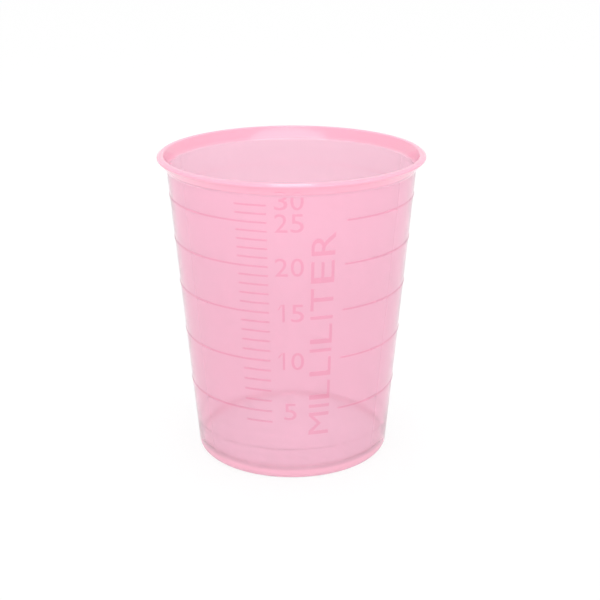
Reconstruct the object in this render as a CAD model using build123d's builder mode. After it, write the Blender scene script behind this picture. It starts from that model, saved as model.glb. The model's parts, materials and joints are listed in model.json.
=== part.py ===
from build123d import *
import os
from math import asin, cos, degrees, pi, radians, sin, sqrt, tan

# A graduated medicine cup, moulded in one piece. Lengths are in millimetres and angles in degrees.
# The origin is the centre of the standing plane, +Z is the cup's axis, and the scale faces -Y.

# Wall
height = 43.25            # standing plane to the top of the lip
neck_radius = 17.2        # outside, at the crease under the flare
draft = 5.0               # lean of the wall away from the axis
wall = 0.4                # thickness, measured level
neck_fillet = 0.4         # outside, where the wall turns into the flare

# Flared lip
lip_height = 1.95         # crease to the top of the lip
lip_flare = 1.28          # how far the lip stands out past the crease
lip_edge = 0.18           # height of the upright edge at its widest point
lip_crown = 0.27          # fall of the top from its level part to that edge
lip_slope = 0.38          # width of that fall
lip_top = 0.48            # width of the level part
underside_angle = 40.0    # rise of the flare's underside where it meets the edge
edge_fillet = 0.12        # on the lip's outer corners
crown_fillet = 0.3        # on the lip's upper corners
inner_crease_rise = 0.1   # the crease inside lies this far above the one outside

# Foot and floor
foot_fillet = 1.2         # outer rounding at the standing plane
ring_width = 0.4          # width of the flat ring that the cup stands on
recess = 0.9              # standing plane to the underside, at that ring
dome = 1.45               # rise of the underside towards its centre
floor = 0.7               # thickness of the floor
floor_fillet = 0.8        # inside, where the wall meets the floor
heel_height = 4.75        # standing plane to the stacking ledge inside
heel_step = 0.18          # width of that ledge
gate_radius = 1.3         # the moulding gate's mark in the middle of the floor
gate_height = 0.15

# Raised scale
relief = 0.08             # height above the wall, and how deep the solids reach into it
line_width = 0.24
scale_left = -25.4        # angles are seen from above, from -Y towards +X
scale_right = -11.0
ring_start = 24.9
first_mark = 4            # millilitres
ring_step = 5
mark_clearance = 0.5      # least distance from a mark to the crease

# Figures beside the scale
figure_angle = -1.2
figure_height = 2.5
figure_width = 1.68
figure_gap = 0.38
figure_stroke = 0.3
top_figure_drop = 0.5     # the middle of the brim's figure lies this far below the crease

# Unit word, read from the foot towards the lip
word = "MILLILITER"
word_left = 8.65          # angles of the tops and the feet of its letters
word_right = 19.75
word_bottom = 7.1         # standing plane to its first letter
word_drop = 4.87          # its last letter to the crease
word_stroke = 0.45
letter_gap = 0.78
letter_shares = {"M": 3.35, "I": 0.45, "L": 2.75, "T": 3.15, "E": 3.05, "R": 3.15}

# Strokes of each figure and letter in a unit square. A pair is the end of a straight run,
# and a pair of pairs is a point on an arc and the arc's end.
strokes = {
    "0": [[(0, 0.32), (0, 0.68), ((0.5, 1), (1, 0.68)), (1, 0.32), ((0.5, 0), (0, 0.32))]],
    "1": [[(0.62, 0), (0.62, 1)], [(0.62, 0.97), (0.2, 0.76)]],
    "2": [[(0.02, 0.72), ((0.5, 1), (0.97, 0.72)), ((0.88, 0.52), (0.6, 0.34)), (0, 0)], [(0, 0), (1, 0)]],
    "3": [[(0.03, 0.77), ((0.5, 1), (0.94, 0.77)), ((0.82, 0.58), (0.42, 0.53))],
          [(0.42, 0.53), ((0.84, 0.47), (1, 0.27)), ((0.5, 0), (0, 0.24))]],
    "4": [[(0.72, 0), (0.72, 1)], [(0.72, 1), (0, 0.3)], [(0, 0.3), (1, 0.3)]],
    "5": [[(0.94, 1), (0.2, 1), (0.08, 0.5)], [(0.08, 0.5), ((0.58, 0.65), (1, 0.33)), ((0.52, 0), (0, 0.2))]],
    "M": [[(0, 0), (0, 1)], [(0, 1), (0.5, 0.08)], [(0.5, 0.08), (1, 1)], [(1, 1), (1, 0)]],
    "I": [[(0.5, 0), (0.5, 1)]],
    "L": [[(0, 1), (0, 0), (1, 0)]],
    "T": [[(0, 1), (1, 1)], [(0.5, 1), (0.5, 0)]],
    "E": [[(1, 1), (0, 1), (0, 0), (1, 0)], [(0, 0.52), (0.94, 0.52)]],
    "R": [[(0, 0), (0, 1)], [(0, 1), (0.6, 1), ((1, 0.76), (0.6, 0.52)), (0, 0.52)], [(0.55, 0.52), (1, 0)]],
}

slope = tan(radians(draft))
neck_height = height - lip_height


def outside(z):
    """Outer radius of the wall at height z."""
    return neck_radius + (z - neck_height) * slope


def inside(z):
    """Inner radius of the wall at height z, above the ledge."""
    return outside(z) - wall


# The floor is part of a ball, the same thickness all over.
ring_radius = outside(0) - foot_fillet - ring_width
under_ball = (ring_radius**2 + dome**2) / (2 * dome)
over_ball = under_ball + floor
ball_centre = recess + dome - under_ball
heel_radius = inside(heel_height) - heel_step


def floor_height(radius):
    """Height of the floor's upper face at a radius."""
    return ball_centre + sqrt(over_ball**2 - radius**2)


floor_radius = inside(floor_height(heel_radius)) - heel_step
floor_edge = floor_height(floor_radius)


def frustum(lower, upper, rise):
    """Volume of a cone's slice between two radii."""
    return pi * rise * (lower**2 + lower * upper + upper**2) / 3


# What the cup holds below the ledge: a cone's slice, less the domed floor and its rounded corner
floor_rise = floor_height(0) - floor_edge
floor_cap = pi * floor_rise * (3 * floor_radius**2 + floor_rise**2) / 6
corner = (1 - pi / 4) * floor_fillet**2 * 2 * pi * (floor_radius - 0.22 * floor_fillet)
heel_volume = frustum(floor_radius, heel_radius, heel_height - floor_edge) - floor_cap - corner


def millilitres(z):
    """What the cup holds when it is filled to height z, above the ledge."""
    return (heel_volume + frustum(inside(heel_height), inside(z), z - heel_height)) / 1000


def level(amount):
    """Height of the surface of that many millilitres."""
    cubed = inside(heel_height) ** 3 + 3 * slope * (1000 * amount - heel_volume) / pi
    return heel_height + (cubed ** (1 / 3) - inside(heel_height)) / slope


# The scale runs up to the crease, and the brim's figure stands above its last ring.
last_mark = int(millilitres(neck_height - mark_clearance))
last_ring = last_mark - last_mark % ring_step
top_figure = last_ring + ring_step

# The letters share the length of the word by their shares, with the same gap between them.
word_length = neck_height - word_drop - word_bottom
letter_unit = (word_length - (len(word) - 1) * letter_gap) / sum(letter_shares[letter] for letter in word)


def meridian(angle):
    """The plane through the axis at an angle, with the radius along its X and the height along its Y."""
    a = radians(angle)
    return Plane(origin=(0, 0, 0), x_dir=(sin(a), -cos(a), 0), z_dir=(-cos(a), -sin(a), 0))


def facing(angle, z, upright=True):
    """A plane inside the cup that faces the wall at an angle, for what reads upright or upwards."""
    a = radians(angle)
    out = (sin(a), -cos(a), 0)
    reading = (cos(a), sin(a), 0) if upright else (0, 0, 1)
    return Plane(origin=(0, 0, z), x_dir=reading, z_dir=out).offset(ring_radius)


def draw(character, left, bottom, width, tall, stroke):
    """Adds a character's strokes, with square ends, to the sketch that is open, inside the given box."""

    def place(point):
        x = left + stroke / 2 + point[0] * (width - stroke)
        y = bottom + stroke / 2 + point[1] * (tall - stroke)
        return x, y

    for path in strokes[character]:
        start = here = place(path[0])
        with BuildLine() as run:
            for step in path[1:]:
                if isinstance(step[0], tuple):
                    through, there = place(step[0]), place(step[1])
                    ThreePointArc(here, through, there)
                else:
                    there = place(step)
                    Line(here, there)
                here = there
        trace(run.line, line_width=stroke)
        with Locations(start, here):
            Rectangle(stroke, stroke)


# Key points of the section, as radius and height
lip_radius = neck_radius + lip_flare
neck = (neck_radius, neck_height)
edge_foot = (lip_radius, height - lip_crown - lip_edge)
edge_top = (lip_radius, height - lip_crown)
shoulder = (lip_radius - lip_slope, height)
mouth = (lip_radius - lip_slope - lip_top, height)
inner_crease = (inside(neck_height + inner_crease_rise), neck_height + inner_crease_rise)
ledge_top = (inside(heel_height), heel_height)
ledge_outside = (outside(heel_height), heel_height)
ledge_foot = (inside(heel_height - heel_step) - heel_step, heel_height - heel_step)
floor_corner = (floor_radius, floor_edge)
foot_corner = (outside(0), 0)
arrival = radians(underside_angle)

with BuildPart() as cup:
    with BuildSketch(Plane.XZ) as section:
        with BuildLine():
            reach = degrees(asin(ring_radius / under_ball))
            CenterArc((0, ball_centre), under_ball, 90 - reach, reach)
            Polyline((ring_radius, recess), (ring_radius, 0), foot_corner, neck)
            TangentArc(edge_foot, neck, tangent=(-cos(arrival), -sin(arrival)))
            Polyline(edge_foot, edge_top, shoulder, mouth, inner_crease, ledge_top, ledge_foot, floor_corner)
            gate_reach = degrees(asin(gate_radius / over_ball))
            reach = degrees(asin(floor_radius / over_ball))
            CenterArc((0, ball_centre), over_ball, 90 - reach, reach - gate_reach)
            gate_top = ball_centre + over_ball + gate_height
            Polyline((gate_radius, floor_height(gate_radius)), (gate_radius, gate_top), (0, gate_top), (0, recess + dome))
        make_face()
        for point, radius in (
            (foot_corner, foot_fillet),
            (neck, neck_fillet),
            (edge_foot, edge_fillet),
            (edge_top, edge_fillet),
            (shoulder, crown_fillet),
            (mouth, crown_fillet),
            (floor_corner, floor_fillet),
        ):
            fillet(section.vertices().sort_by_distance(point)[0], radius)
    revolve(axis=Axis.Z)

    # Rings all round but for the gap of the figures, and short marks between them
    with BuildSketch(meridian(ring_start)):
        for amount in range(ring_step, last_ring + 1, ring_step):
            with Locations((outside(level(amount)), level(amount))):
                Rectangle(2 * relief, line_width, rotation=-draft)
    revolve(axis=Axis.Z, revolution_arc=360 + scale_right - ring_start)
    with BuildSketch(meridian(scale_left)):
        for amount in range(first_mark, last_mark + 1):
            if amount % ring_step:
                with Locations((outside(level(amount)), level(amount))):
                    Rectangle(2 * relief, line_width, rotation=-draft)
    revolve(axis=Axis.Z, revolution_arc=scale_right - scale_left)

# Figures and unit word: prisms, cut down to a thin skin that follows the wall and the flare
with BuildPart() as lettering:
    for amount in range(ring_step, top_figure + 1, ring_step):
        middle = neck_height - top_figure_drop if amount == top_figure else level(amount)
        text = str(amount)
        left = -(len(text) * (figure_width + figure_gap) - figure_gap) / 2
        with BuildSketch(facing(figure_angle, middle)):
            for character in text:
                draw(character, left, -figure_height / 2, figure_width, figure_height, figure_stroke)
                left += figure_width + figure_gap
        extrude(amount=neck_radius)
    foot = word_bottom
    for character in word:
        wide = letter_shares[character] * letter_unit
        tall = outside(foot) * radians(word_right - word_left)
        with BuildSketch(facing((word_left + word_right) / 2, foot, upright=False)):
            draw(character, 0, -tall / 2, wide, tall, word_stroke)
        extrude(amount=neck_radius)
        foot += wide + letter_gap
    with BuildSketch(meridian(scale_right)):
        with BuildLine() as face:
            TangentArc(edge_foot, neck, tangent=(-cos(arrival), -sin(arrival)))
            Line(neck, ledge_outside)
        trace(face.line, line_width=2 * relief)
    revolve(axis=Axis.Z, revolution_arc=ring_start - scale_right, mode=Mode.INTERSECT)

with BuildPart() as graduated_cup:
    add(cup.part)
    add(lettering.part)

graduated_cup.part.label = "cup"
os.makedirs("parts", exist_ok=True)
export_step(graduated_cup.part, "parts/cup.step")
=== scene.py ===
"""A graduated medicine cup, moulded in one piece of thin see-through plastic."""

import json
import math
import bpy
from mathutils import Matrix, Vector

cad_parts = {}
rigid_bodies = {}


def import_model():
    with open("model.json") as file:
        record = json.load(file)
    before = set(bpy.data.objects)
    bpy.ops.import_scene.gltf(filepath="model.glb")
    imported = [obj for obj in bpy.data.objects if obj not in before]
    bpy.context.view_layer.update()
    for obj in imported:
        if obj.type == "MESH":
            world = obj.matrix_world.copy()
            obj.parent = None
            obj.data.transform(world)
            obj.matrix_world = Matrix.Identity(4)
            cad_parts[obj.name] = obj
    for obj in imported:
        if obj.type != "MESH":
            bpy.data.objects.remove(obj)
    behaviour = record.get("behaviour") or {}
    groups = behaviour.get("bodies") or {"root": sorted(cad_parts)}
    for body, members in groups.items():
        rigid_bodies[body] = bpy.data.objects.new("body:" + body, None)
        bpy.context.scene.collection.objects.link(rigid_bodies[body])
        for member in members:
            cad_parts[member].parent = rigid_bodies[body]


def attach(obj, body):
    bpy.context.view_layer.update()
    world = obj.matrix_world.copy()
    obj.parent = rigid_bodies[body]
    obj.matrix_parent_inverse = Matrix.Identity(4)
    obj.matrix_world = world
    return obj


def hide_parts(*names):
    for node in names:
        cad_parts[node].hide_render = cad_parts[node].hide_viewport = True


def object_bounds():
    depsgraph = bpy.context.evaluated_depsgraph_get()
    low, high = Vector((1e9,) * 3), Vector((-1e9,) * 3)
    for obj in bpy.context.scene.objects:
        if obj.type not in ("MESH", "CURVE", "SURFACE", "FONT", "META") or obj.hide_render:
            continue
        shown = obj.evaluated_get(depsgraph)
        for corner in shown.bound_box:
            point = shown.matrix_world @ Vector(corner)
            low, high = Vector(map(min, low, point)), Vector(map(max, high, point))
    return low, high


bl_info = {
    "name": "Medicine cup",
    "version": (1, 0, 0),
    "blender": (4, 5, 0),
    "location": "3D View > Sidebar > Cup",
    "description": "Models a graduated medicine cup with its raised scale, its plastic and a plain stage",
    "category": "Object",
}

import bpy
from mathutils import Matrix, Vector

bpy.ops.object.select_all(action="SELECT")
bpy.ops.object.delete()
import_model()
cad_box = [list(corner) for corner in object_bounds()]

MM = 0.001

# Each lamp's name, place, width and depth in metres, and the setting that holds its power
LAMPS = (
    ("key", (0.02, -0.49, 0.38), 0.8, 0.12, "key_power"),
    ("above", (0.0, 0.0, 0.45), 0.12, 0.12, "top_power"),
)
LAMP_TARGET = (0, 0, 0.02)

# Width of each letter of the unit word, in millimetres
LETTER_WIDTHS = {"M": 3.35, "I": 0.45, "L": 2.75, "T": 3.15, "E": 3.05, "R": 3.15}


# Sizes and colours

def millimetres(name, description, value):
    """A length property whose default is given in millimetres."""
    return bpy.props.FloatProperty(
        name=name, description=description, default=value * MM, unit="LENGTH", precision=5
    )


def degrees(name, description, value):
    """An angle property whose default is given in degrees."""
    return bpy.props.FloatProperty(
        name=name, description=description, default=math.radians(value), subtype="ANGLE"
    )


def colour(name, description, value):
    """A colour property, as linear red, green and blue."""
    return bpy.props.FloatVectorProperty(
        name=name, description=description, default=value, subtype="COLOR", size=3, min=0.0, max=1.0
    )


def share(name, description, value):
    """A property between nothing and all."""
    return bpy.props.FloatProperty(
        name=name, description=description, default=value, min=0.0, max=1.0, subtype="FACTOR"
    )


class CupShape(bpy.types.PropertyGroup):
    """Sizes of the wall, the lip, the foot and the floor."""

    height: millimetres("Height", "Standing plane to the top of the lip", cad_box[1][2] / MM)
    lip_radius: millimetres("Lip radius", "Widest point of the cup", cad_box[1][0] / MM)
    neck_radius: millimetres("Neck radius", "Outside, at the crease under the flare", 17.2)
    lip_height: millimetres("Lip height", "Crease to the top of the lip", 1.95)
    draft: degrees("Draft", "Lean of the wall away from the axis", 5.0)
    wall: millimetres("Wall", "Thickness of the wall, measured level", 0.4)
    lip_edge: millimetres("Lip edge", "Height of the upright edge at the widest point", 0.18)
    lip_crown: millimetres("Lip crown", "Fall of the top towards that edge", 0.27)
    lip_slope: millimetres("Lip slope", "Width of that fall", 0.38)
    lip_top: millimetres("Lip top", "Width of the level part of the top", 0.48)
    underside: degrees("Underside", "Rise of the flare's underside at the edge", 40.0)
    foot_fillet: millimetres("Foot rounding", "Outer rounding at the standing plane", 1.2)
    ring_width: millimetres("Standing ring", "Width of the ring that the cup stands on", 0.4)
    recess: millimetres("Recess", "Standing plane to the underside at that ring", 0.9)
    dome: millimetres("Dome", "Rise of the underside towards its centre", 1.45)
    floor: millimetres("Floor", "Thickness of the floor", 0.7)
    floor_fillet: millimetres("Floor rounding", "Inside, where the wall meets the floor", 0.8)
    heel_height: millimetres("Ledge height", "Standing plane to the stacking ledge inside", 4.75)
    heel_step: millimetres("Ledge width", "Width of that ledge", 0.18)
    gate_radius: millimetres("Gate mark", "Radius of the gate's mark in the middle of the floor", 1.3)
    gate_height: millimetres("Gate height", "Height of the gate's mark above the floor", 0.15)
    crease_rise: millimetres("Crease inside", "How far it lies above the one outside", 0.1)
    neck_rounding: millimetres("Neck rounding", "Where the wall turns into the flare", 0.15)
    crease_rounding: millimetres("Crease rounding", "Inside, where the flare starts", 0.05)
    edge_rounding: millimetres("Edge rounding", "Outer corners of the lip", 0.12)
    crown_rounding: millimetres("Crown rounding", "Upper corners of the lip", 0.3)
    ledge_rounding: millimetres("Ledge rounding", "Corners of the stacking ledge", 0.06)


class CupScale(bpy.types.PropertyGroup):
    """Sizes and places of the raised scale, its figures and the unit word."""

    relief: millimetres("Relief", "Height above the wall", 0.05)
    line_width: millimetres("Line width", "Width of rings and marks", 0.24)
    mark_left: degrees("Marks from", "Angle from the front, positive to the right", -25.4)
    mark_right: degrees("Marks to", "Angle from the front", -11.0)
    ring_from: degrees("Rings from", "Angle from the front where the rings start", 24.9)
    figure_angle: degrees("Figures at", "Angle of the middle of the figures", -1.2)
    figure_height: millimetres("Figure height", "Height of a figure", 2.5)
    figure_width: millimetres("Figure width", "Width of a figure", 1.68)
    figure_stroke: millimetres("Figure stroke", "Width of the upright of a figure 1", 0.3)
    figure_gap: millimetres("Figure gap", "Gap between two figures", 0.38)
    top_figure_drop: millimetres("Top figure", "The brim's figure below the crease", 0.5)
    word_left: degrees("Word from", "Angle of the tops of the letters", 8.65)
    word_right: degrees("Word to", "Angle of the feet of the letters", 19.75)
    word_bottom: millimetres("Word bottom", "Standing plane to the first letter", 7.1)
    letter_gap: millimetres("Letter gap", "Gap between two letters", 0.78)


class CupFinish(bpy.types.PropertyGroup):
    """Colours and gloss of the plastic, with the painted light on its floor."""

    plastic: colour("Plastic", "Colour of the plastic", (1.0, 0.695, 0.805))
    thick: colour("Thick plastic", "Colour where the plastic is thicker", (1.0, 0.54, 0.68))
    # Painted light: the floor's pale colour is a painted glow for light passing through the floor and off its
    # dome
    pale: colour("Painted floor light", "Colour of the cup's floor", (1.0, 0.92, 0.96))
    bead: colour("Lip and foot", "Colour of the lip's bead and of the foot", (1.0, 0.47, 0.61))
    clearness: share("Clearness", "How much passes straight through a face", 0.71)
    roughness: share("Roughness", "Roughness of the faces", 0.06)
    solid_lip: share("Solid lip", "How much of the lip's colour is solid", 0.75)
    solid_foot: share("Solid foot", "How much of the foot's colour is solid", 0.6)
    solid_floor: share("Solid floor", "How much of the floor's colour is solid", 0.8)
    mottling: share("Mottling", "Strength of the faint clouds in the plastic", 0.04)
    ripple: share("Ripple", "Strength of the faint waves of the moulded faces", 0.05)


class StageSettings(bpy.types.PropertyGroup):
    """Floor, light and camera."""

    floor_colour: colour("Floor", "Colour of the floor and of the surroundings", (0.92, 0.92, 0.92))
    shadow: share("Shadow", "How much of the floor's own shading shows", 0.12)
    daylight: bpy.props.FloatProperty(
        name="Daylight", description="Strength of the even light from all round", default=1.0, min=0
    )
    key_power: bpy.props.FloatProperty(
        name="Key lamp", description="Power of the lamp above the camera", default=1.3, unit="POWER"
    )
    top_power: bpy.props.FloatProperty(
        name="Top lamp", description="Power of the lamp above the cup's mouth", default=0.3, unit="POWER"
    )
    lens: bpy.props.FloatProperty(
        name="Lens", description="Focal length", default=78.4, unit="CAMERA"
    )
    place: bpy.props.FloatVectorProperty(
        name="Camera", description="Place of the camera", default=(0, -0.1765, 0.08286), unit="LENGTH"
    )
    pitch: bpy.props.FloatProperty(
        name="Pitch", description="How far the camera looks down", default=0.3337, subtype="ANGLE"
    )
    yaw: bpy.props.FloatProperty(
        name="Yaw", description="How far the camera looks to the right", default=0.0064, subtype="ANGLE"
    )
    roll: bpy.props.FloatProperty(
        name="Roll", description="Turn of the camera about its own line", default=-0.0020, subtype="ANGLE"
    )


# Section of the cup, in metres

def outside(shape, z):
    """Outer radius of the wall at height z."""
    return shape.neck_radius + (z - (shape.height - shape.lip_height)) * math.tan(shape.draft)


def inside(shape, z):
    """Inner radius of the wall at height z."""
    return outside(shape, z) - shape.wall


def standing_radius(shape):
    """Inner radius of the ring that the cup stands on."""
    return outside(shape, 0) - shape.foot_fillet - shape.ring_width


def under_ball(shape):
    """Radius of the ball that the underside is part of."""
    edge = standing_radius(shape)
    return (edge**2 + shape.dome**2) / (2 * shape.dome)


def floor_height(shape, radius):
    """Height of the floor's upper face at a radius."""
    ball = under_ball(shape)
    return shape.recess + shape.dome - ball + math.sqrt((ball + shape.floor) ** 2 - radius**2)


def holding(shape, z):
    """What the cup holds when it is filled to height z, in cubic metres, counted in thin slices."""
    steps = 400
    total = 0.0
    for step in range(steps):
        height = z * (step + 0.5) / steps
        radius = inside(shape, height)
        if height < shape.heel_height:
            radius -= shape.heel_step
        above_floor = radius**2
        if height < floor_height(shape, 0):
            ball = under_ball(shape)
            lift = height - (shape.recess + shape.dome - ball)
            above_floor = max(0.0, radius**2 - max(0.0, (ball + shape.floor) ** 2 - lift**2))
        total += math.pi * above_floor * z / steps
    return total


def level(shape, millilitres):
    """Height of the surface of that many millilitres."""
    low, high = shape.heel_height, shape.height
    for _ in range(30):
        middle = (low + high) / 2
        if holding(shape, middle) < millilitres * 1e-6:
            low = middle
        else:
            high = middle
    return (low + high) / 2


def rounded(corners, turn=math.radians(7.5)):
    """Points of an open line of (radius, height, rounding) corners, with each rounding as short runs."""
    points = []
    for place, (r, z, rounding) in enumerate(corners):
        here = Vector((r, z))
        if rounding == 0 or place in (0, len(corners) - 1):
            points.append(here)
            continue
        back = (Vector(corners[place - 1][:2]) - here).normalized()
        ahead = (Vector(corners[place + 1][:2]) - here).normalized()
        between = back.angle(ahead)
        reach = rounding / math.tan(between / 2)
        centre = here + (back + ahead).normalized() * rounding / math.sin(between / 2)
        start = here + back * reach - centre
        finish = here + ahead * reach - centre
        steps = max(3, math.ceil((math.pi - between) / turn))
        sweep = start.angle_signed(finish)
        for step in range(steps + 1):
            points.append(centre + Matrix.Rotation(-sweep * step / steps, 2) @ start)
    return points


def ball_run(centre, radius, first, last, runs):
    """Corners along a ball's section, between two radii from the axis."""
    corners = []
    for step in range(runs + 1):
        r = first + (last - first) * step / runs
        corners.append((r, centre + math.sqrt(radius**2 - r**2), 0))
    return corners


def flare(shape, runs=9):
    """Corners of the flare's hollow underside, from the crease out to the edge."""
    start = Vector((shape.neck_radius, shape.height - shape.lip_height))
    end = Vector((shape.lip_radius, shape.height - shape.lip_crown - shape.lip_edge))
    chord = end - start
    bend = 2 * (math.atan2(chord.y, chord.x) - shape.underside)
    radius = chord.length / (2 * math.sin(bend / 2))
    normal = Vector((math.sin(shape.underside), -math.cos(shape.underside)))
    centre = end + normal * radius
    corners = []
    for step in range(runs + 1):
        spoke = Matrix.Rotation(bend * (1 - step / runs), 2) @ (end - centre)
        corners.append((*(centre + spoke), 0))
    return corners


def section(shape):
    """The cup's whole section, from the axis under the floor, round the lip, to the axis above it."""
    neck = shape.height - shape.lip_height
    edge = standing_radius(shape)
    ball = under_ball(shape)
    centre = shape.recess + shape.dome - ball
    heel = inside(shape, shape.heel_height) - shape.heel_step
    floor_edge = floor_height(shape, heel)
    floor_radius = inside(shape, floor_edge) - shape.heel_step
    top = shape.height
    crease = neck + shape.crease_rise
    hollow = flare(shape)
    corners = ball_run(centre, ball, 0, edge, 16)
    corners += [(edge, 0, 0.05 * MM), (outside(shape, 0), 0, shape.foot_fillet)]
    rows = 30
    for row in range(1, rows):
        z = 2 * MM + (neck - 3 * MM) * row / rows
        corners.append((outside(shape, z), z, 0))
    corners += [(*hollow[0][:2], shape.neck_rounding)]
    corners += [
        *hollow[1:-1],
        (*hollow[-1][:2], shape.edge_rounding),
        (shape.lip_radius, top - shape.lip_crown, shape.edge_rounding),
        (shape.lip_radius - shape.lip_slope, top, shape.crown_rounding),
        (shape.lip_radius - shape.lip_slope - shape.lip_top, top, shape.crown_rounding),
        (inside(shape, crease), crease, shape.crease_rounding),
    ]
    for row in range(1, rows):
        z = neck - (neck - shape.heel_height) * row / rows
        corners.append((inside(shape, z), z, 0))
    step = shape.heel_height - shape.heel_step
    corners += [
        (inside(shape, shape.heel_height), shape.heel_height, shape.ledge_rounding),
        (inside(shape, step) - shape.heel_step, step, shape.ledge_rounding),
        (floor_radius, floor_height(shape, floor_radius), shape.floor_fillet),
    ]
    corners += ball_run(centre, ball + shape.floor, floor_radius - 1.2 * MM, shape.gate_radius + 0.1 * MM, 14)
    gate = floor_height(shape, 0) + shape.gate_height
    corners += [(shape.gate_radius, gate, 0.05 * MM), (0, gate, 0)]
    return rounded(corners)


# Modelling by hand

def deselect():
    """Leaves edit mode and clears the selection."""
    if bpy.context.object and bpy.context.object.mode != "OBJECT":
        bpy.ops.object.mode_set(mode="OBJECT")
    bpy.ops.object.select_all(action="DESELECT")


def only(piece):
    """Makes a piece the only selected one, and the active one."""
    deselect()
    piece.select_set(True)
    bpy.context.view_layer.objects.active = piece


def trace(name, points, closed=False):
    """A line in the upright plane through +X, drawn by extruding one point from place to place."""
    deselect()
    bpy.ops.mesh.primitive_plane_add(size=MM, location=(0, 0, 0))
    piece = bpy.context.object
    piece.name = name
    bpy.ops.object.mode_set(mode="EDIT")
    bpy.ops.mesh.merge(type="CENTER")
    bpy.ops.transform.translate(value=(points[0][0], 0, points[0][1]))
    for here, there in zip(points, points[1:]):
        step = (there[0] - here[0], 0, there[1] - here[1])
        bpy.ops.mesh.extrude_region_move(TRANSFORM_OT_translate={"value": step})
    bpy.ops.mesh.select_all(action="SELECT")
    if closed:
        bpy.ops.mesh.edge_face_add()
    bpy.ops.object.mode_set(mode="OBJECT")
    return piece


def spin(piece, angle, start, step=math.radians(1.5)):
    """Spins what a piece holds about the cup's axis, from an angle on, and turns its faces outwards."""
    only(piece)
    bpy.ops.object.mode_set(mode="EDIT")
    bpy.ops.mesh.select_all(action="SELECT")
    bpy.ops.mesh.spin(steps=round(angle / step), angle=angle, center=(0, 0, 0), axis=(0, 0, -1))
    bpy.ops.mesh.select_all(action="SELECT")
    bpy.ops.mesh.remove_doubles(threshold=0.002 * MM)
    bpy.ops.mesh.normals_make_consistent(inside=False)
    bpy.ops.object.mode_set(mode="OBJECT")
    piece.rotation_euler.z = start - math.pi / 2
    bpy.ops.object.transform_apply(location=True, rotation=True, scale=True)


def closed(piece):
    """Stops the script if a piece has an edge that isn't between two faces."""
    used = {}
    for face in piece.data.polygons:
        for edge in face.edge_keys:
            used[edge] = used.get(edge, 0) + 1
    loose = sum(1 for count in used.values() if count != 2)
    if loose or not used:
        raise RuntimeError(f"{piece.name} has {loose} open edges")


def combine(piece, other, operation):
    """Unites a piece with another, or cuts it down to what they share."""
    only(piece)
    modifier = piece.modifiers.new("combine", "BOOLEAN")
    modifier.operation = operation
    modifier.solver = "MANIFOLD"
    modifier.object = other
    bpy.ops.object.modifier_apply(modifier=modifier.name)
    only(other)
    bpy.ops.object.delete()
    only(piece)


def join(pieces, name):
    """Makes several objects one."""
    only(pieces[0])
    for piece in pieces:
        piece.select_set(True)
    bpy.ops.object.join()
    pieces[0].name = name
    return pieces[0]


# Plastic

class Number:
    """A number in a material that Python's own operators work on, each adding a Math node."""

    def __init__(self, board, socket):
        self.board = board
        self.socket = socket

    def __add__(self, other):
        return self.board.maths("ADD", self, other)

    def __radd__(self, other):
        return self.board.maths("ADD", other, self)

    def __sub__(self, other):
        return self.board.maths("SUBTRACT", self, other)

    def __rsub__(self, other):
        return self.board.maths("SUBTRACT", other, self)

    def __mul__(self, other):
        return self.board.maths("MULTIPLY", self, other)

    def __rmul__(self, other):
        return self.board.maths("MULTIPLY", other, self)

    def __truediv__(self, other):
        return self.board.maths("DIVIDE", self, other)

    def __pow__(self, other):
        return self.board.maths("POWER", self, other)

    def ramp(self, low, high):
        """0 below low, 1 above high, and an even rise between them."""
        node = self.board.add(
            "ShaderNodeMapRange", {"clamp": True}, {"Value": self, "From Min": low, "From Max": high}
        )
        return Number(self.board, node.outputs["Result"])


class Board:
    """The node tree of one material."""

    def __init__(self, name):
        self.material = bpy.data.materials.new(name)
        self.material.use_nodes = True
        self.tree = self.material.node_tree
        self.tree.nodes.clear()

    def add(self, kind, settings, inputs):
        """A node of a kind, with its settings made first and then its sockets' values or links."""
        node = self.tree.nodes.new(kind)
        for name, value in settings.items():
            setattr(node, name, value)
        for name, value in inputs.items():
            socket = node.inputs[name]
            if isinstance(value, Number):
                value = value.socket
            if isinstance(value, bpy.types.NodeSocket):
                self.tree.links.new(value, socket)
            else:
                socket.default_value = value
        return node

    def maths(self, operation, first, second):
        """A Math node on two numbers."""
        node = self.add("ShaderNodeMath", {"operation": operation}, {0: first, 1: second})
        return Number(self, node.outputs[0])

    def blend(self, amount, first, second):
        """A colour between two, by an amount."""
        node = self.add(
            "ShaderNodeMix", {"data_type": "RGBA"}, {"Factor": amount, 6: first, 7: second}
        )
        return node.outputs[2]

    def noise(self, place, scale, detail=2.0):
        """Soft noise around a half."""
        node = self.add("ShaderNodeTexNoise", {}, {"Vector": place, "Scale": scale, "Detail": detail})
        return Number(self, node.outputs["Fac"])


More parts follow.
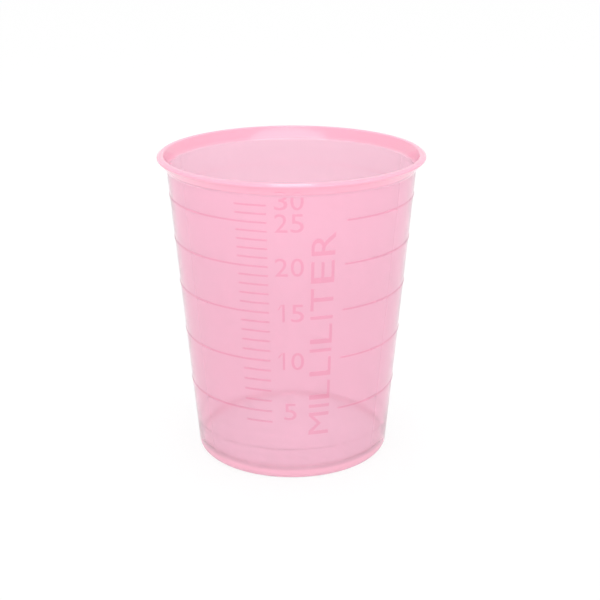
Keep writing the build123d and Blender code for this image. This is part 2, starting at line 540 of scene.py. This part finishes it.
def plastic(shape, finish):
    """Thin pink plastic: see-through, glossy, deeper in colour where it is thick, faintly rippled, with
    painted light on its floor.
    """
    board = Board("pink_plastic")
    place = board.add("ShaderNodeTexCoord", {}, {}).outputs["Object"]
    axes = board.add("ShaderNodeSeparateXYZ", {}, {"Vector": place})
    x, y, z = (Number(board, axes.outputs[axis]) for axis in "XYZ")
    radius = (x * x + y * y) ** 0.5
    neck = shape.height - shape.lip_height
    lift = radius - (z - neck) * math.tan(shape.draft) - shape.neck_radius
    raised = lift.ramp(0.01 * MM, 0.03 * MM) * (1 - z.ramp(neck - 0.1 * MM, neck))
    cloud = board.noise(place, 160.0, 3.0).ramp(0.3, 0.7)
    base = board.blend(raised, (*finish.plastic, 1), (*finish.thick, 1))
    # Painted light: inside the standing ring the colour turns pale, a painted glow for light coming through
    # the floor
    bottom = 1 - radius.ramp(standing_radius(shape), standing_radius(shape) + 1.0 * MM)
    base_with_painted_floor_light = board.blend(bottom, base, (*finish.pale, 1))
    mottled = board.blend(cloud * finish.mottling, base_with_painted_floor_light, (*finish.thick, 1))
    grain = board.noise(place, 900.0, 2.0)
    gloss = finish.roughness * (0.7 + 0.6 * grain)
    wave = board.noise(place, 120.0, 2.0)
    bump = board.add(
        "ShaderNodeBump", {}, {"Strength": finish.ripple, "Distance": 0.1 * MM, "Height": wave}
    )
    shader = board.add(
        "ShaderNodeBsdfPrincipled",
        {},
        {
            "Base Color": mottled,
            "Roughness": gloss,
            "Normal": bump.outputs["Normal"],
            "Transmission Weight": finish.clearness,
            "IOR": 1.3,
        },
    )
    # On the floor this solid colour is painted pale too, as painted light coming through the floor
    bead = board.add(
        "ShaderNodeBsdfPrincipled",
        {},
        {
            "Base Color": board.blend(bottom, (*finish.bead, 1), (*finish.pale, 1)),
            "Roughness": 0.12,
            "Normal": bump.outputs["Normal"],
            "Transmission Weight": 0.1,
            "IOR": 1.45,
        },
    )
    lip = z.ramp(neck + 0.1 * MM, neck + 0.5 * MM)
    foot = (1 - z.ramp(1.4 * MM, 2.4 * MM)) * (1 - bottom)
    solid = lip * finish.solid_lip + foot * finish.solid_foot + bottom * finish.solid_floor
    both = board.add(
        "ShaderNodeMixShader", {}, {0: solid.ramp(0, 1), 1: shader.outputs["BSDF"], 2: bead.outputs["BSDF"]}
    )
    board.add("ShaderNodeOutputMaterial", {}, {"Surface": both.outputs["Shader"]})
    return board.material


# Pieces

class CUP_OT_body(bpy.types.Operator):
    """Spin the cup's section into its wall, lip, floor and ledge"""

    bl_idname = "cup.body"
    bl_label = "Cup body"

    def execute(self, context):
        shape = context.scene.cup_shape
        body = trace("cup_body", section(shape))
        spin(body, math.tau, 0)
        closed(body)
        return {"FINISHED"}


class CUP_OT_scale(bpy.types.Operator):
    """Spin the rings and the short marks of the raised scale"""

    bl_idname = "cup.scale"
    bl_label = "Rings and marks"

    def execute(self, context):
        shape, scale = context.scene.cup_shape, context.scene.cup_scale
        rings = self.lines("cup_rings", shape, scale, range(5, 26, 5))
        spin(rings, math.tau + scale.mark_right - scale.ring_from, scale.ring_from)
        marks = self.lines("cup_marks", shape, scale, [ml for ml in range(4, 28) if ml % 5])
        spin(marks, scale.mark_right - scale.mark_left, scale.mark_left)
        closed(join([rings, marks], "cup_lines"))
        return {"FINISHED"}

    def lines(self, name, shape, scale, amounts):
        """The sections of level lines, as one object."""
        up = Vector((math.sin(shape.draft), math.cos(shape.draft))) * scale.line_width / 2
        out = Vector((math.cos(shape.draft), -math.sin(shape.draft))) * scale.relief
        sections = []
        for millilitres in amounts:
            z = level(shape, millilitres)
            middle = Vector((outside(shape, z), z))
            corners = [middle - up - out, middle - up + out, middle + up + out, middle + up - out]
            sections.append(trace(name, corners, closed=True))
        return join(sections, name)


class CUP_OT_figures(bpy.types.Operator):
    """Raise the figures and the unit word on the wall"""

    bl_idname = "cup.figures"
    bl_label = "Figures and unit word"

    def execute(self, context):
        shape, scale = context.scene.cup_shape, context.scene.cup_scale
        neck = shape.height - shape.lip_height
        glyphs = []
        for amount in range(5, 31, 5):
            middle = neck - scale.top_figure_drop if amount == 30 else level(shape, amount)
            text = str(amount)
            left = -(len(text) * (scale.figure_width + scale.figure_gap) - scale.figure_gap) / 2
            for character in text:
                foot, wide, tall = -scale.figure_height / 2, scale.figure_width, scale.figure_height
                boxes = [(character, (left, foot, wide, tall))]
                if character == "1":
                    stem = left + 0.55 * wide
                    flag = 0.38 * wide
                    boxes = [
                        ("I", (stem, foot, scale.figure_stroke, tall)),
                        ("/", (stem - flag - 0.005 * MM, foot + 0.7 * tall, flag, 0.28 * tall)),
                    ]
                for drawn, box in boxes:
                    glyphs.append(self.glyph(drawn, scale.figure_angle, middle, True, box))
                left += scale.figure_width + scale.figure_gap
        foot = scale.word_bottom
        for character in "MILLILITER":
            wide = LETTER_WIDTHS[character] * MM
            tall = outside(shape, foot) * (scale.word_right - scale.word_left)
            angle = (scale.word_left + scale.word_right) / 2
            glyphs.append(self.glyph(character, angle, foot, False, (0, -tall / 2, wide, tall)))
            foot += wide + scale.letter_gap
        letters = join(glyphs, "cup_letters")
        closed(letters)
        skin = trace("cup_skin", self.band(shape, scale.relief), closed=True)
        spin(skin, scale.ring_from - scale.mark_right, scale.mark_right)
        closed(skin)
        combine(letters, skin, "INTERSECT")
        return {"FINISHED"}

    def glyph(self, character, angle, z, upright, box):
        """One character as a block that runs out through the wall, in a box on the plane it faces."""
        deselect()
        bpy.ops.object.text_add(location=(0, 0, 0))
        piece = bpy.context.object
        piece.data.body = character
        piece.data.resolution_u = 6
        bpy.ops.object.convert(target="MESH")
        bpy.ops.object.mode_set(mode="EDIT")
        bpy.ops.mesh.select_all(action="SELECT")
        bpy.ops.mesh.remove_doubles(threshold=0.0005)
        bpy.ops.mesh.extrude_region_move(TRANSFORM_OT_translate={"value": (0, 0, 1)})
        bpy.ops.mesh.select_all(action="SELECT")
        bpy.ops.mesh.normals_make_consistent(inside=False)
        bpy.ops.object.mode_set(mode="OBJECT")
        low = Vector(piece.bound_box[0])
        size = Vector(piece.bound_box[6]) - low
        left, bottom, wide, tall = box
        near, far = 12 * MM, 20 * MM
        fit = Matrix.Diagonal((wide / size.x, tall / size.y, (far - near) / size.z, 1))
        fit = Matrix.Translation((left, bottom, near)) @ fit @ Matrix.Translation(-low)
        out = Vector((math.sin(angle), -math.cos(angle), 0))
        reading = Vector((math.cos(angle), math.sin(angle), 0)) if upright else Vector((0, 0, 1))
        turn = Matrix((reading, out.cross(reading), out)).transposed().to_4x4()
        piece.matrix_world = Matrix.Translation((0, 0, z)) @ turn @ fit
        bpy.ops.object.transform_apply(location=True, rotation=True, scale=True)
        return piece

    def band(self, shape, relief):
        """The section of a thin skin that follows the wall and the flare."""
        heel = shape.heel_height
        line = [Vector((outside(shape, heel), heel))]
        line += [Vector(corner[:2]) for corner in flare(shape)]
        out, back = [], []
        for place, here in enumerate(line):
            along = line[min(place + 1, len(line) - 1)] - line[max(place - 1, 0)]
            side = Vector((along.y, -along.x)).normalized() * relief
            out.append(here + side)
            back.append(here - side)
        return out + back[::-1]


class CUP_OT_finish(bpy.types.Operator):
    """Unite the body with its scale, smooth it and give it its plastic"""

    bl_idname = "cup.finish"
    bl_label = "Unite and finish"

    def execute(self, context):
        scene = context.scene
        body = bpy.data.objects["cup_body"]
        combine(body, bpy.data.objects["cup_lines"], "UNION")
        combine(body, bpy.data.objects["cup_letters"], "UNION")
        bpy.ops.object.mode_set(mode="EDIT")
        bpy.ops.mesh.select_all(action="SELECT")
        bpy.ops.mesh.remove_doubles(threshold=0.0005 * MM)
        bpy.ops.object.mode_set(mode="OBJECT")
        closed(body)
        bpy.ops.object.shade_smooth_by_angle(angle=math.radians(20))
        body.name = "graduated_cup"
        body.data.materials.clear()
        body.data.materials.append(plastic(scene.cup_shape, scene.cup_finish))
        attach(body, "root")
        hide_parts("cup")
        return {"FINISHED"}


class CUP_OT_stage(bpy.types.Operator):
    """Set the floor, the light and the camera"""

    bl_idname = "cup.stage"
    bl_label = "Stage"

    def execute(self, context):
        stage = context.scene.cup_stage
        self.floor(stage)
        self.surroundings(context.scene, stage)
        for name, place, width, depth, power in LAMPS:
            self.lamp(name, place, width, depth, getattr(stage, power))
        self.camera(context.scene, stage)
        context.scene.view_settings.view_transform = "Standard"
        return {"FINISHED"}

    def floor(self, stage):
        """A plain pale floor that reads white and keeps a soft shadow."""
        deselect()
        bpy.ops.mesh.primitive_plane_add(size=6, location=(0, 0, 0))
        ground = bpy.context.object
        ground.name = "floor"
        board = Board("floor")
        matt = board.add("ShaderNodeBsdfDiffuse", {}, {"Color": (*stage.floor_colour, 1)})
        path = board.add("ShaderNodeLightPath", {}, {})
        direct = Number(board, path.outputs["Is Camera Ray"])
        through = Number(board, path.outputs["Is Transmission Ray"])
        mirrored = Number(board, path.outputs["Is Glossy Ray"])
        seen = (direct + through + mirrored).ramp(0, 1) * (1 - stage.shadow)
        white = board.add("ShaderNodeEmission", {}, {"Color": (1, 1, 1, 1), "Strength": 1.0})
        mixed = board.add(
            "ShaderNodeMixShader", {}, {0: seen, 1: matt.outputs["BSDF"], 2: white.outputs["Emission"]}
        )
        board.add("ShaderNodeOutputMaterial", {}, {"Surface": mixed.outputs["Shader"]})
        ground.data.materials.append(board.material)

    def surroundings(self, scene, stage):
        """Even daylight from all round, seen as white."""
        world = scene.world or bpy.data.worlds.new("surroundings")
        scene.world = world
        world.use_nodes = True
        tree = world.node_tree
        tree.nodes.clear()
        path = tree.nodes.new("ShaderNodeLightPath")
        seen = tree.nodes.new("ShaderNodeMath")
        seen.operation = "ADD"
        tree.links.new(path.outputs["Is Camera Ray"], seen.inputs[0])
        mirrored = tree.nodes.new("ShaderNodeMath")
        mirrored.operation = "ADD"
        tree.links.new(path.outputs["Is Transmission Ray"], mirrored.inputs[0])
        tree.links.new(path.outputs["Is Glossy Ray"], mirrored.inputs[1])
        tree.links.new(mirrored.outputs[0], seen.inputs[1])
        strength = tree.nodes.new("ShaderNodeMapRange")
        strength.inputs["To Min"].default_value = stage.daylight
        strength.inputs["To Max"].default_value = 1.0
        tree.links.new(seen.outputs[0], strength.inputs["Value"])
        sky = tree.nodes.new("ShaderNodeBackground")
        sky.inputs["Color"].default_value = (1, 1, 1, 1)
        tree.links.new(strength.outputs["Result"], sky.inputs["Strength"])
        out = tree.nodes.new("ShaderNodeOutputWorld")
        tree.links.new(sky.outputs["Background"], out.inputs["Surface"])

    def lamp(self, name, place, width, depth, power):
        """A soft lamp that faces the middle of the cup."""
        deselect()
        bpy.ops.object.light_add(type="AREA", location=place)
        lamp = bpy.context.object
        lamp.name = name
        lamp.data.shape = "RECTANGLE"
        lamp.data.size = width
        lamp.data.size_y = depth
        lamp.data.energy = power
        towards = Vector(LAMP_TARGET) - Vector(place)
        lamp.rotation_euler = towards.to_track_quat("-Z", "Y").to_euler()

    def camera(self, scene, stage):
        """The camera, at the photograph's place and lens."""
        deselect()
        bpy.ops.object.camera_add()
        camera = bpy.context.object
        camera.data.lens = stage.lens
        camera.data.sensor_width = 36
        camera.data.clip_start = 0.01
        pitch, yaw, roll = stage.pitch, stage.yaw, stage.roll
        ahead = Vector((math.sin(yaw) * math.cos(pitch), math.cos(yaw) * math.cos(pitch), -math.sin(pitch)))
        right = Vector((math.cos(yaw), -math.sin(yaw), 0))
        above = right.cross(ahead)
        turned = Matrix((right, above, -ahead)).transposed().to_4x4() @ Matrix.Rotation(roll, 4, "Z")
        camera.matrix_world = Matrix.Translation(stage.place) @ turned
        scene.camera = camera


class CUP_PT_panel(bpy.types.Panel):
    """The cup's steps and settings in the sidebar"""

    bl_idname = "CUP_PT_panel"
    bl_label = "Medicine cup"
    bl_space_type = "VIEW_3D"
    bl_region_type = "UI"
    bl_category = "Cup"

    def draw(self, context):
        for operator in OPERATORS:
            self.layout.operator(operator.bl_idname)
        for group in SETTINGS:
            box = self.layout.box()
            for name in SETTINGS[group].__annotations__:
                box.prop(getattr(context.scene, group), name)


SETTINGS = {
    "cup_shape": CupShape,
    "cup_scale": CupScale,
    "cup_finish": CupFinish,
    "cup_stage": StageSettings,
}
OPERATORS = (CUP_OT_body, CUP_OT_scale, CUP_OT_figures, CUP_OT_finish, CUP_OT_stage)


def register():
    """Registers the settings, the steps and the panel."""
    for name, group in SETTINGS.items():
        bpy.utils.register_class(group)
        setattr(bpy.types.Scene, name, bpy.props.PointerProperty(type=group))
    for operator in OPERATORS:
        bpy.utils.register_class(operator)
    bpy.utils.register_class(CUP_PT_panel)


def unregister():
    """Takes them out again."""
    bpy.utils.unregister_class(CUP_PT_panel)
    for operator in reversed(OPERATORS):
        bpy.utils.unregister_class(operator)
    for name, group in reversed(list(SETTINGS.items())):
        delattr(bpy.types.Scene, name)
        bpy.utils.unregister_class(group)


def main():
    """Builds the cup and the stage."""
    register()
    bpy.ops.cup.body()
    bpy.ops.cup.scale()
    bpy.ops.cup.figures()
    bpy.ops.cup.finish()
    bpy.ops.cup.stage()


if __name__ == "__main__":
    main()
